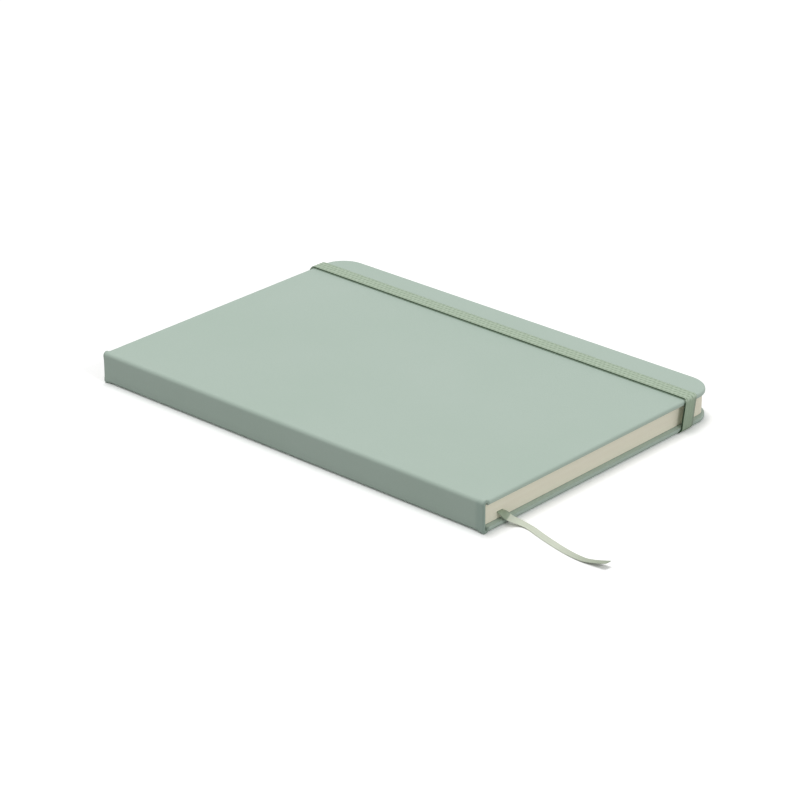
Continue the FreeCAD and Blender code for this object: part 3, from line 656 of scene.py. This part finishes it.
def make_case(name, upper):
    """Half of the case's skin: one cover and half of the spine."""
    s_line = merged(steps(0, BEND_START, 1.2), steps(BEND_START, BEND_END, 0.16),
                    steps(BEND_END, BOARD_START + 1.4, 0.16),
                    steps(BOARD_START + 1.4, SKIN_END - TURN_IN, 6.0),
                    [SKIN_END - TURN_IN, SKIN_END - CORNER_RADIUS])
    y_half = merged(steps(0, HALF_LENGTH - TURN_IN, 7.0),
                    [HALF_LENGTH - TURN_IN, HALF_LENGTH - CORNER_RADIUS])
    if not upper:
        walls = [side + COVER_START + shift for side in CHANNEL_SIDES
                 for shift in (-WALL, 0, WALL)]
        s_line = merged([s for s in s_line if min(abs(s - w) for w in walls) > 0.3], walls)
        walls = [side + shift for side in SLOT_EDGES for shift in (-WALL, 0, WALL)]
        y_half = merged([y for y in y_half if min(abs(y - w) for w in walls) > 0.3], walls)
    y_line = [-y for y in reversed(y_half[1:])] + y_half

    mesh, layer = new_mesh()
    made = {}

    def vertex(s, y, depth):
        """The one vertex at a place, made when it is first asked for."""
        place = on_case(s, y, depth - flare(s, y) * (1 - smooth(depth, 0.0, HEM_DEPTH)))
        if not upper:
            place.z = max(TOP - place.z, 0.0)
        key = tuple(round(c, 4) for c in place)
        if key not in made:
            made[key] = mesh.verts.new(place)
        return made[key]

    def outer_depth(s, y):
        return 0.0 if upper else channel_depth(s - COVER_START, y)

    # The flat middle of the outer face.
    inner_s = [s for s in s_line if s <= SKIN_END - TURN_IN + 1e-6]
    inner_y = [y for y in y_line if abs(y) <= HALF_LENGTH - TURN_IN + 1e-6]
    rows = [[(vertex(s, y, outer_depth(s, y)), (s, y)) for y in inner_y] for s in inner_s]
    add_grid(mesh, layer, rows)

    # The border: stations round the outline, from the spine at the tail to the spine at the head,
    # each with its outward direction.
    centre_s = SKIN_END - CORNER_RADIUS
    centre_y = HALF_LENGTH - CORNER_RADIUS
    stations = [((s, -HALF_LENGTH), (0, -1)) for s in s_line]
    stations += round_corner(centre_s, -centre_y, CORNER_RADIUS, -math.pi / 2, 16)
    stations += [((SKIN_END, y), (1, 0)) for y in y_line]
    stations += round_corner(centre_s, centre_y, CORNER_RADIUS, 0.0, 16)
    stations += [((s, HALF_LENGTH), (0, 1)) for s in reversed(s_line)]

    columns = []
    for (s, y), (out_s, out_y) in stations:
        start_s = min(s, SKIN_END - TURN_IN)
        start_y = max(-(HALF_LENGTH - TURN_IN), min(HALF_LENGTH - TURN_IN, y))
        profile = edge_profile(s, outer_depth(s, y))
        inset = profile[0][0]
        rim_s, rim_y = s - out_s * inset, y - out_y * inset
        column = []
        for part in (0.0, 0.35, 0.7, 0.92):
            at_s = start_s + (rim_s - start_s) * part
            at_y = start_y + (rim_y - start_y) * part
            column.append((vertex(at_s, at_y, outer_depth(at_s, at_y)), (at_s, at_y)))
        for inward, depth, reach in profile:
            flat = (s + out_s * reach, y + out_y * reach)
            column.append((vertex(s - out_s * inward, y - out_y * inward, depth), flat))
        columns.append(column)
    add_grid(mesh, layer, columns)

    # The largest face is on the turned-in strip. Turning it outwards leaves the outer faces
    # pointing inwards.
    bmesh.ops.recalc_face_normals(mesh, faces=mesh.faces)
    largest = max(mesh.faces, key=lambda face: face.calc_area())
    if (largest.normal.z > 0) != upper:
        bmesh.ops.reverse_faces(mesh, faces=mesh.faces)
    case = piece_from(name, mesh, SKIN_LOOK)
    join_to_leaves(case, upper, Vector((SHOULDER_X - 1.4, 0, SHOULDER_Z - 0.6)),
                   Vector((SHOULDER_X + 0.7, 0, SHOULDER_Z + 0.6)))
    return case


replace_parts(make_case("front_cover_faux_leather", upper=True), "front_cover_skin", "spine_skin")
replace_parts(make_case("back_cover_faux_leather", upper=False), "back_cover_skin")


# ---------------------------------------------------------------- endpapers

# The two halves are this far from the plane between them, where they face each other.
FOLD_GAP = 0.01
FOLD_STEPS = 6
PLATE_STEP = 12.0


def plate_outline(left, right, half, radius):
    """A plate's outline, anticlockwise from the spine at the tail, with rounded fore corners."""
    centre_x, centre_y = right - radius, half - radius
    points = [(x, -half) for x in steps(left, centre_x, PLATE_STEP)]
    points += [place for place, _ in round_corner(centre_x, -centre_y, radius, -math.pi / 2, 12)]
    points += [(right, y) for y in steps(-centre_y, centre_y, PLATE_STEP)]
    points += [place for place, _ in round_corner(centre_x, centre_y, radius, 0.0, 12)]
    points += [(x, half) for x in reversed(steps(left, centre_x, PLATE_STEP))]
    return points


def make_endpaper(name, upper):
    """One folded sheet: half of it pasted to the cover, half of it loose on the leaves."""
    thickness = PASTE_HIGH[2] - PASTE_LOW[2]
    fold_x = SHOULDER_X + thickness
    mesh, layer = new_mesh()
    halves = []
    for side, (right, half_length, _), radius in ((1, PASTE_HIGH, CORNER_RADIUS - PASTE_MARGIN),
                                                  (-1, FLY_HIGH, LEAF_CORNER_RADIUS)):
        outline = plate_outline(fold_x, right, half_length, radius)
        inner, outer = [[(mesh.verts.new((x, y, SHOULDER_Z + side * depth)), (x, y))
                         for x, y in outline] for depth in (FOLD_GAP, thickness)]
        add_face(mesh, layer, inner)
        add_face(mesh, layer, outer)
        add_grid(mesh, layer, [inner, outer])
        halves.append((inner, outer))

    # The fold: a half round on the outside, and a narrow strip between the facing sides.
    (pasted_inner, pasted_outer), (loose_inner, loose_outer) = halves
    arc = [[pasted_outer[0], pasted_outer[-1]]]
    for i in range(1, FOLD_STEPS):
        angle = math.pi / 2 + math.pi * i / FOLD_STEPS
        part = i / FOLD_STEPS
        row = []
        for end in (0, -1):
            from_y, to_y = pasted_outer[end][0].co.y, loose_outer[end][0].co.y
            y = from_y + (to_y - from_y) * part
            row.append((mesh.verts.new((fold_x + thickness * math.cos(angle), y,
                                        SHOULDER_Z + thickness * math.sin(angle))), (fold_x, y)))
        arc.append(row)
    arc.append([loose_outer[0], loose_outer[-1]])
    add_grid(mesh, layer, arc)
    add_grid(mesh, layer, [[pasted_inner[0], pasted_inner[-1]], [loose_inner[0], loose_inner[-1]]])
    if not upper:
        bmesh.ops.scale(mesh, vec=(1, 1, -1), verts=mesh.verts)
        bmesh.ops.translate(mesh, vec=(0, 0, TOP), verts=mesh.verts)
    bmesh.ops.recalc_face_normals(mesh, faces=mesh.faces)
    sheet = piece_from(name, mesh, ENDPAPER_LOOK, faceted=True)
    join_to_leaves(sheet, upper, Vector((0, 0, SHOULDER_Z - FOLD_GAP * 0.6)),
                   Vector((0, 0, SHOULDER_Z + FOLD_GAP * 0.6)))
    return sheet


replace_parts(make_endpaper("front_endpaper", upper=True), "front_pastedown", "front_flyleaf")
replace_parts(make_endpaper("back_endpaper", upper=False), "back_pastedown", "back_flyleaf")


# ---------------------------------------------------------------- elastic band

BAND_COLUMNS = 56
RIB_DEPTH = 0.09

# The radii of the band's bends, at its slots and round the edges of the notebook.
SLOT_TURN = 0.55
EDGE_TURN = 1.2


def rounded_path(corners, radii):
    """(y, z) points along a line through the corners, with round bends."""
    path = [Vector(corners[0])]

    def run_to(end):
        start = path[-1]
        for part in steps(0, (end - start).length, 3.0)[1:]:
            path.append(start.lerp(end, part / (end - start).length))

    for before, corner, after, radius in zip(corners, corners[1:], corners[2:], radii):
        back = (Vector(before) - Vector(corner)).normalized()
        onward = (Vector(after) - Vector(corner)).normalized()
        centre = Vector(corner) + (back + onward) * radius
        run_to(centre - onward * radius)
        for i in range(1, 9):
            turn = math.pi / 2 * i / 8
            path.append(centre - (onward * math.cos(turn) + back * math.sin(turn)) * radius)
    run_to(Vector(corners[-1]))
    return path


def band_section():
    """The ribbed section of the elastic, a little thinner at its sides: (across, up, flat across)."""
    half, thick = BAND_WIDTH / 2, BAND_THICKNESS / 2

    def swell(x):
        edge = smooth(abs(x), half - 0.25, half)
        ribs = thick - RIB_DEPTH + RIB_DEPTH * math.cos(2 * math.pi * x / ELASTIC_RIB)
        return ribs * (1 - edge) + (thick - 0.06) * edge

    xs = [half - BAND_WIDTH * i / BAND_COLUMNS for i in range(BAND_COLUMNS + 1)]
    upper = [(x, swell(x), x) for x in xs]
    lower = [(x, -swell(x), x) for x in reversed(xs)]
    return upper + lower


def make_band():
    """The whole loop, from one glued end out through its slot, over the front cover, and in
    through the other slot. At the foot of the tail run, the side nearer the spine is frayed out
    sideways, spreading its painted side shade into a dark hook."""
    level = TOP + BAND_GAP + BAND_THICKNESS / 2
    out = HALF_LENGTH + BAND_GAP + BAND_THICKNESS / 2
    low = BAND_THICKNESS / 2
    glued = BOARD_DEPTH - BAND_THICKNESS / 2
    tip = SLOT_Y - GLUED_END
    corners = [(-tip, glued), (-SLOT_Y, glued), (-SLOT_Y, low), (-out, low), (-out, level),
               (out, level), (out, low), (SLOT_Y, low), (SLOT_Y, glued), (tip, glued)]
    path = rounded_path(corners, [SLOT_TURN] * 2 + [EDGE_TURN] * 4 + [SLOT_TURN] * 2)

    def middle_x(y, z):
        """The middle of the band across the notebook: it leans on top and down both ends."""
        if abs(y) < out - 1.5 and z < MIDDLE:
            return BAND_SLOT_X
        if z < level - 1.5:
            top_x = BAND_TAIL_X if y < 0 else BAND_HEAD_X
            return BAND_SLOT_X + (top_x - 0.9 - BAND_SLOT_X) * share(z, 0.6, 12.8)
        top_x = BAND_TAIL_X + (BAND_HEAD_X - BAND_TAIL_X) * share(y, -out, out)
        return top_x - 0.45 * share(abs(y), out - 1.5, out)

    # Its line across the notebook is averaged three times, so that it has no kinks.
    centres = [Vector((middle_x(y, z), y, z)) for y, z in path]
    for _ in range(3):
        before = [c.x for c in centres]
        for i in range(1, len(centres) - 1):
            centres[i].x = (before[i - 1] + 2 * before[i] + before[i + 1]) / 4

    mesh, layer = new_mesh()
    rows = []
    reach = 0.0
    for i, centre in enumerate(centres):
        reach += (centre - centres[max(i - 1, 0)]).length
        ahead = centres[min(i + 1, len(centres) - 1)] - centres[max(i - 1, 0)]
        up = Vector((0, ahead.z, -ahead.y)).normalized()
        foot = smooth(-centre.y, out - 1.1, out - 0.5) * (1 - smooth(centre.z, 0.5, 1.0))
        row = []
        for x, height, flat in band_section():
            # The fray carries the painted shade of the cut side out sideways.
            frayed = 1.3 * foot * smooth(-x, BAND_WIDTH / 2 - 0.6, BAND_WIDTH / 2)
            place = centre + Vector((x - frayed, 0, 0)) + up * height
            row.append((mesh.verts.new(place), (flat, reach)))
        rows.append(row)
    add_grid(mesh, layer, rows, closed=True)
    add_face(mesh, layer, rows[0])
    add_face(mesh, layer, rows[-1])
    bmesh.ops.recalc_face_normals(mesh, faces=mesh.faces)
    band = piece_from("elastic_band_woven", mesh, ELASTIC_LOOK)
    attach(band, "back_cover")
    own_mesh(band)
    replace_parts(band, "elastic_band")


make_band()


# ---------------------------------------------------------------- carried-over CAD nodes

for node, look in (("front_board", BOARD_LOOK), ("back_board", BOARD_LOOK),
                   ("spine_strip", BOARD_LOOK), ("page_block", LEAF_LOOK),
                   ("spine_lining", LINING_LOOK)):
    piece = frame["nodes"][node]
    piece.data.materials.clear()
    piece.data.materials.append(look)


# ---------------------------------------------------------------- floor, world and light

# The floor reaches this far each way, and is a hair below the notebook.
FLOOR_REACH = 6.0
FLOOR_LEVEL = -0.00002
WORLD_LIGHT = 0.47


def make_floor():
    """A floor that lights the notebook as grey does, and looks white itself and in reflections."""
    data = bpy.data.meshes.new("floor")
    reach = FLOOR_REACH
    data.from_pydata([(-reach, -reach, 0), (reach, -reach, 0), (reach, reach, 0),
                      (-reach, reach, 0)], [], [(0, 1, 2, 3)])
    floor = bpy.data.objects.new("floor", data)
    floor.location.z = FLOOR_LEVEL
    bpy.context.scene.collection.objects.link(floor)
    s = Shader("floor")
    rays = s.add("LightPath")
    seen = s.math("MAXIMUM", rays.outputs["Is Camera Ray"],
                  s.math("MAXIMUM", rays.outputs["Is Glossy Ray"],
                         rays.outputs["Is Transmission Ray"]))
    color = s.mix(seen, rgba(0.50, 0.50, 0.50), rgba(1.20, 1.20, 1.20))
    data.materials.append(s.finish(color, 1.0, specular=0.0))


def make_world():
    """A plain studio that lights the notebook by WORLD_LIGHT, and looks white itself and in
    reflections."""
    world = bpy.data.worlds.new("studio")
    world.use_nodes = True
    bpy.context.scene.world = world
    tree = world.node_tree
    background = tree.nodes["Background"]
    rays = tree.nodes.new("ShaderNodeLightPath")
    seen = rays.outputs["Is Camera Ray"]
    for kind in ("Is Glossy Ray", "Is Transmission Ray"):
        pick = tree.nodes.new("ShaderNodeMath")
        pick.operation = "MAXIMUM"
        tree.links.new(seen, pick.inputs[0])
        tree.links.new(rays.outputs[kind], pick.inputs[1])
        seen = pick.outputs[0]
    strength = tree.nodes.new("ShaderNodeMapRange")
    strength.inputs["To Min"].default_value = WORLD_LIGHT
    strength.inputs["To Max"].default_value = 1.0
    tree.links.new(seen, strength.inputs["Value"])
    tree.links.new(strength.outputs["Result"], background.inputs["Strength"])
    background.inputs["Color"].default_value = (1, 1, 1, 1)


def area_light(name, place, size, power):
    """A square lamp aimed at the notebook."""
    data = bpy.data.lights.new(name, "AREA")
    data.shape = "SQUARE"
    data.size = size
    data.energy = power
    lamp = bpy.data.objects.new(name, data)
    lamp.location = place
    lamp.rotation_mode = "QUATERNION"
    lamp.rotation_quaternion = (-Vector(place)).to_track_quat("-Z", "Y")
    bpy.context.scene.collection.objects.link(lamp)


make_floor()
make_world()
area_light("key", (0.15, 0.46, 2.3), 0.9, 21)
area_light("fill", (-0.20, -1.9, 1.3), 0.5, 9.5)
